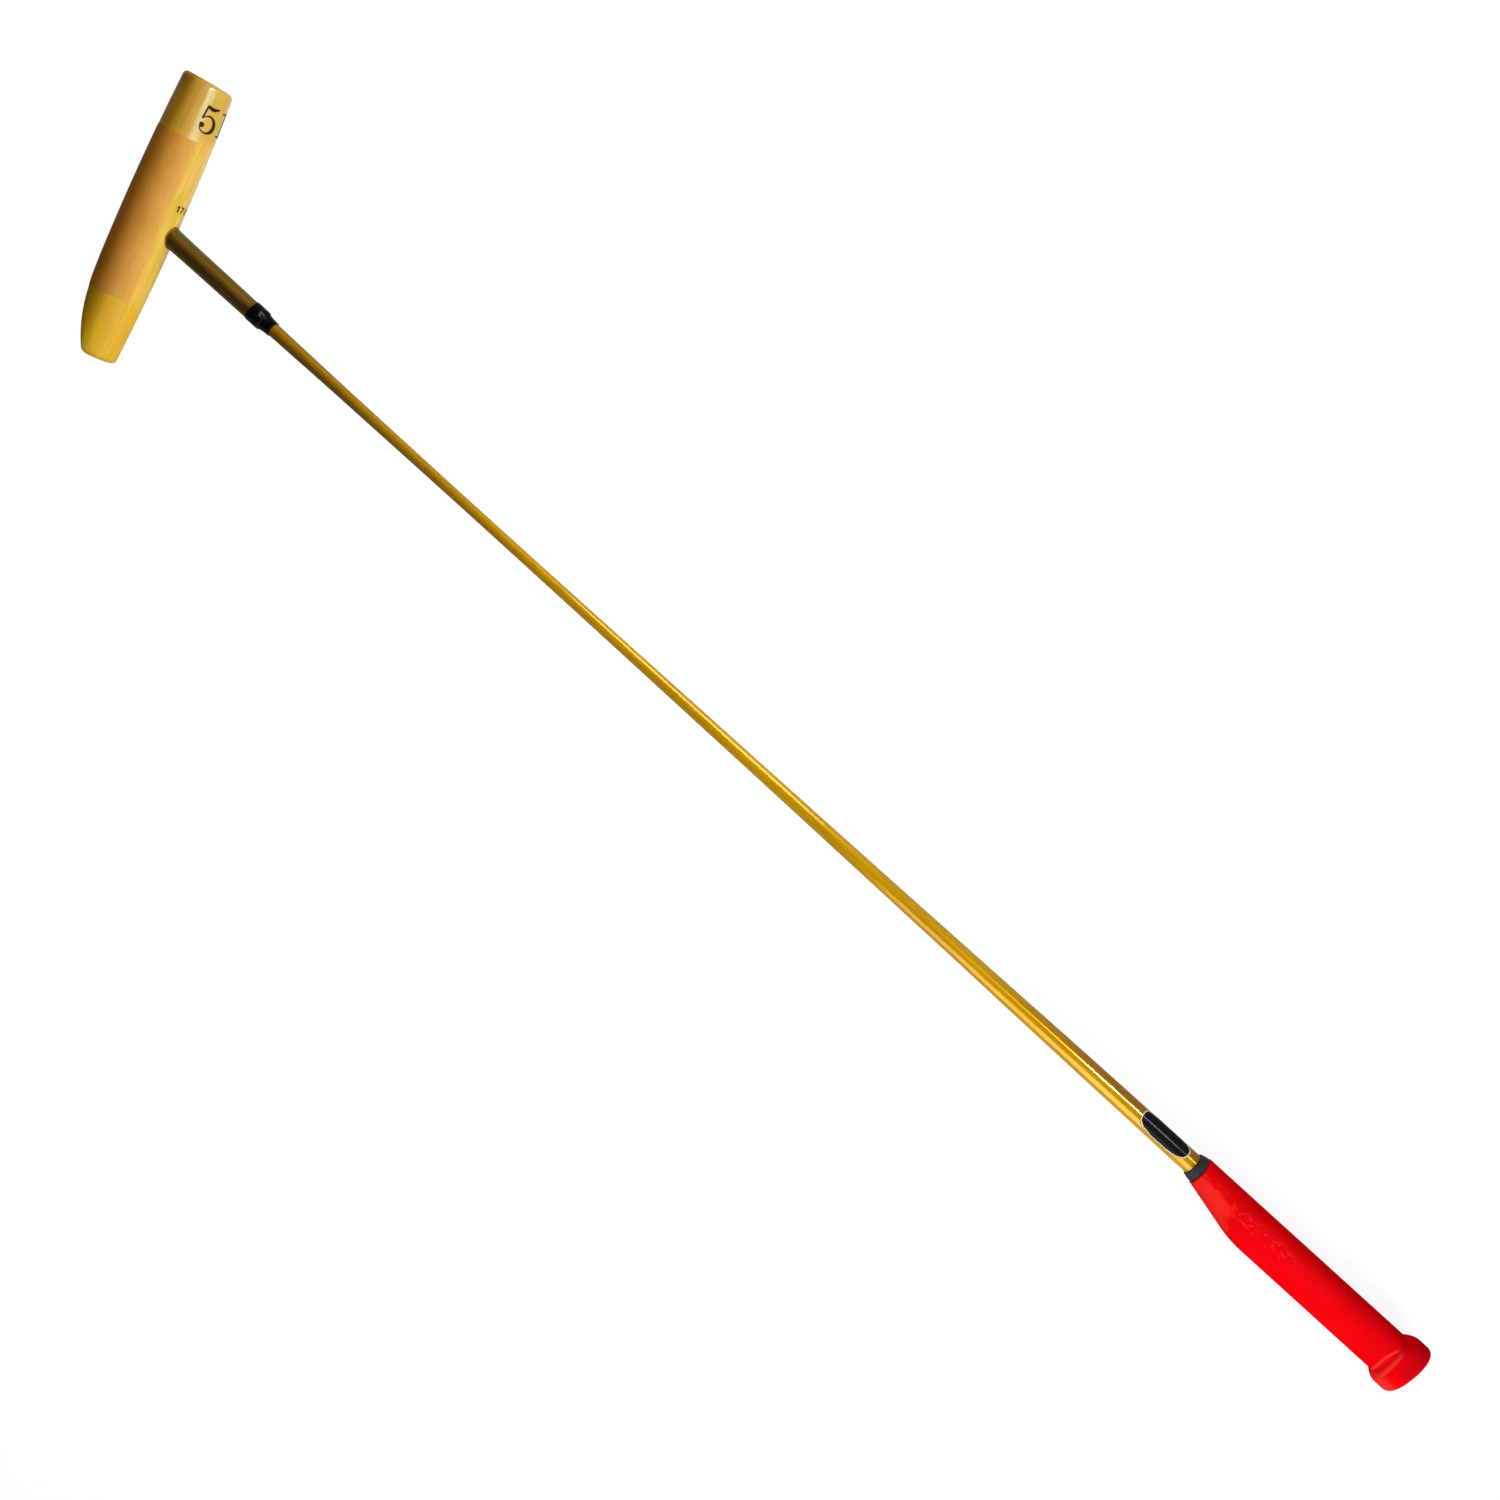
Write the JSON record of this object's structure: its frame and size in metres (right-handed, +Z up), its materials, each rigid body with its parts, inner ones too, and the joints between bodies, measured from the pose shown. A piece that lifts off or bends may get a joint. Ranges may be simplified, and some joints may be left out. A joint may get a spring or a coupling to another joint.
{
  "type": "polo mallet",
  "caption": "Polo mallet: bevelled timber barrel head wedged on a long tapered shaft, with a clear sleeve and tape at the head and an off-centre rubber grip with a pommel.",
  "frame": {"origin": "on the ground under the middle of the mallet's bounding box, with the mallet lying on its side", "axes": "+X along the shaft from the head to the grip's butt, +Y toward the toe of the head, +Z up"},
  "size_m": [1.3206, 0.2148, 0.0444],
  "materials": {
    "varnished_timber": "clear gloss varnish",
    "varnished_cloth": "cloth soaked in varnish, satin gloss",
    "gold_lacquer": "gloss gold lacquer",
    "dowel_timber": "bare",
    "wedge_hardwood": "bare",
    "smoky_clear": "clear, smoky brown",
    "glossy_tape": "gloss black",
    "ring_rubber": "dull black",
    "red_rubber": "dull red",
    "left_core_timber": "bare",
    "right_core_timber": "bare",
    "plug_plastic": "dull dark grey"
  },
  "bodies": {
    "root": {"head": "varnished_timber", "head_wrap": "varnished_cloth", "shaft": "gold_lacquer", "tip_dowel": "dowel_timber", "head_wedge": "wedge_hardwood", "shaft_sleeve": "smoky_clear", "sleeve_tape": "glossy_tape", "grip_ring": "ring_rubber", "grip": "red_rubber", "handle_pallet_left": "left_core_timber", "handle_pallet_right": "right_core_timber", "butt_plug": "plug_plastic"}
  },
  "joints": []
}
